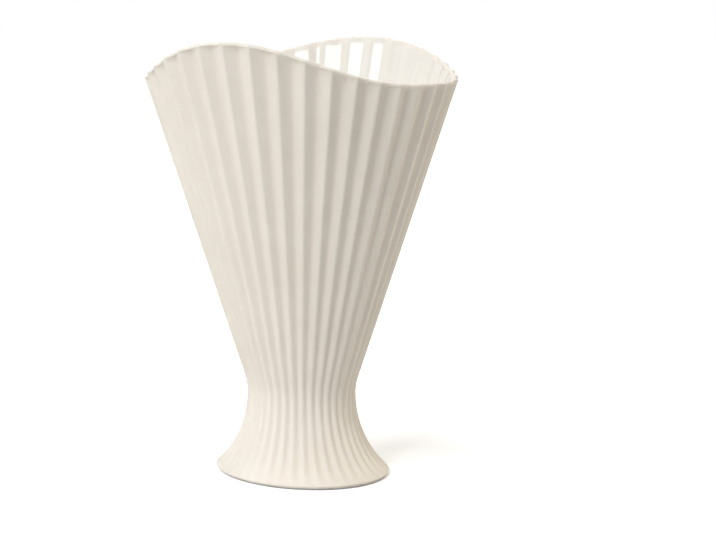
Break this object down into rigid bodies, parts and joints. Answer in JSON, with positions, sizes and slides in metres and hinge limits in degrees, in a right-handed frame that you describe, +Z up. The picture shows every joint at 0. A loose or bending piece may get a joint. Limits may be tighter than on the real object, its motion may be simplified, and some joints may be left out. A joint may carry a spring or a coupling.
{
  "type": "fan vase",
  "caption": "Fluted fan-shaped flower vase with a flared foot, narrow waist, oval mouth and wavy rim, matt outside and glazed inside.",
  "frame": {"origin": "centre of the foot, on the surface that the vase stands on", "axes": "+Z up, +X along the long way of the oval plan towards one low end of the rim, +Y along the short way towards the fuller of the rim's two high points"},
  "size_m": [0.221, 0.1944, 0.3],
  "materials": {
    "matt_stoneware": "matt warm off-white slip-cast stoneware",
    "clear_glaze": "glossy off-white glaze",
    "soft_pad": "matt soft pad"
  },
  "bodies": {
    "root": {"vase_body": "matt_stoneware", "glaze_lining": "clear_glaze", "foot_pad_1": "soft_pad", "foot_pad_2": "soft_pad", "foot_pad_3": "soft_pad", "foot_pad_4": "soft_pad"}
  },
  "joints": []
}
